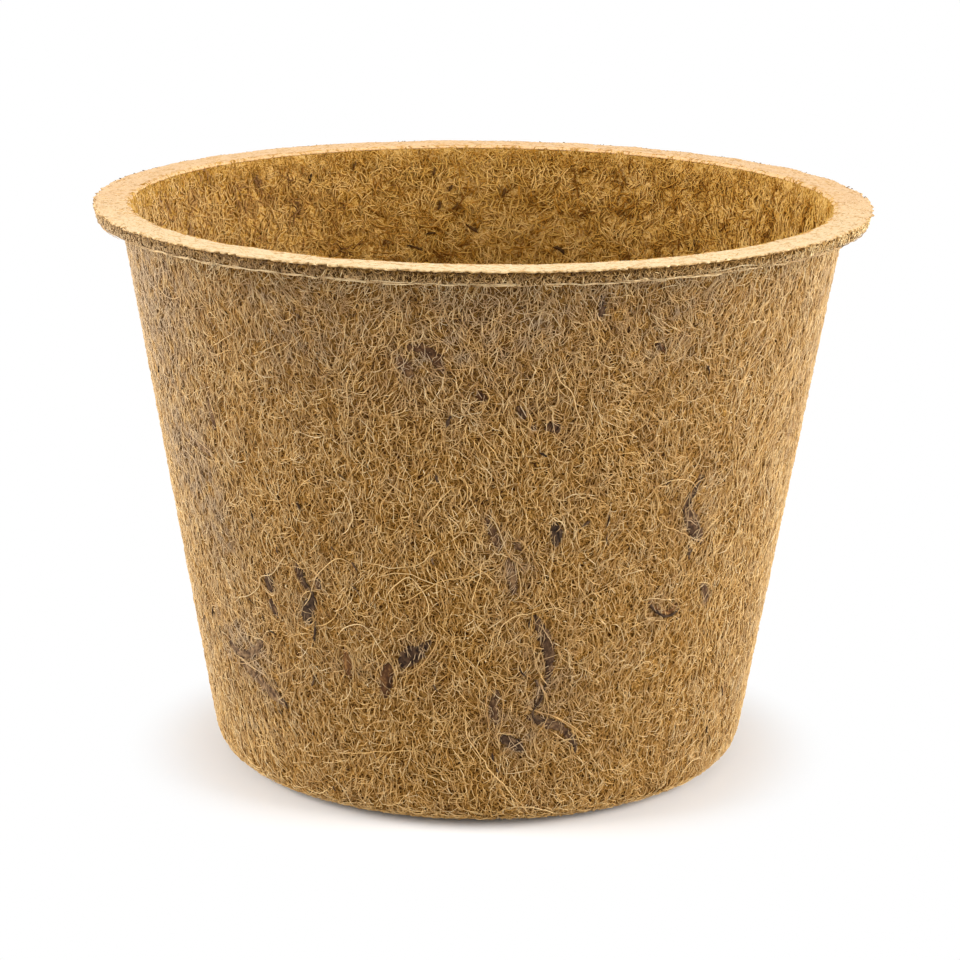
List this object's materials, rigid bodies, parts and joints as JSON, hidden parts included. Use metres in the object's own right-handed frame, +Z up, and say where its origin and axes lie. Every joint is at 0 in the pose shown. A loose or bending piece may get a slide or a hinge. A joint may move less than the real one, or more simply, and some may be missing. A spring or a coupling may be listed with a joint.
{
  "type": "coir plant pot",
  "caption": "Tapered round plant pot of moulded coir felt with a flat turned-out rim, open at the top, for growing a plant and planting out whole.",
  "frame": {"origin": "centre of the underside of the base", "axes": "+Z up along the pot's axis, -Y towards the side the picture shows, +X to its right"},
  "size_m": [0.13, 0.13, 0.0954],
  "materials": {
    "outer_felt": "latex-bonded coir fibre felt, matt",
    "inner_felt": "latex-bonded coir fibre felt, coarse, matt",
    "pressed_skin": "coir felt pressed smooth and trimmed, matt",
    "husk": "raw coconut husk, dull"
  },
  "bodies": {
    "root": {"outer_ply": "outer_felt", "inner_ply": "inner_felt", "rim_skin": "pressed_skin", "husk_flake_01": "husk", "husk_flake_02": "husk", "husk_flake_03": "husk", "husk_flake_04": "husk", "husk_flake_05": "husk", "husk_flake_06": "husk", "husk_flake_07": "husk", "husk_flake_08": "husk", "husk_flake_09": "husk", "husk_flake_10": "husk", "husk_flake_11": "husk", "husk_flake_12": "husk", "husk_flake_13": "husk", "husk_flake_14": "husk", "husk_flake_15": "husk", "husk_flake_16": "husk", "husk_flake_17": "husk", "husk_flake_18": "husk", "husk_flake_19": "husk", "husk_flake_20": "husk", "husk_flake_21": "husk", "husk_flake_22": "husk", "husk_flake_23": "husk", "husk_flake_24": "husk", "husk_flake_25": "husk", "husk_flake_26": "husk", "husk_flake_27": "husk", "husk_flake_28": "husk", "husk_flake_29": "husk", "husk_flake_30": "husk", "husk_flake_31": "husk", "husk_flake_32": "husk", "husk_flake_33": "husk", "husk_flake_34": "husk", "husk_flake_35": "husk", "husk_flake_36": "husk", "husk_flake_37": "husk", "husk_flake_38": "husk", "husk_flake_39": "husk", "husk_flake_40": "husk", "husk_flake_41": "husk", "husk_flake_42": "husk", "husk_flake_43": "husk", "husk_flake_44": "husk", "husk_flake_45": "husk", "husk_flake_46": "husk"}
  },
  "joints": []
}
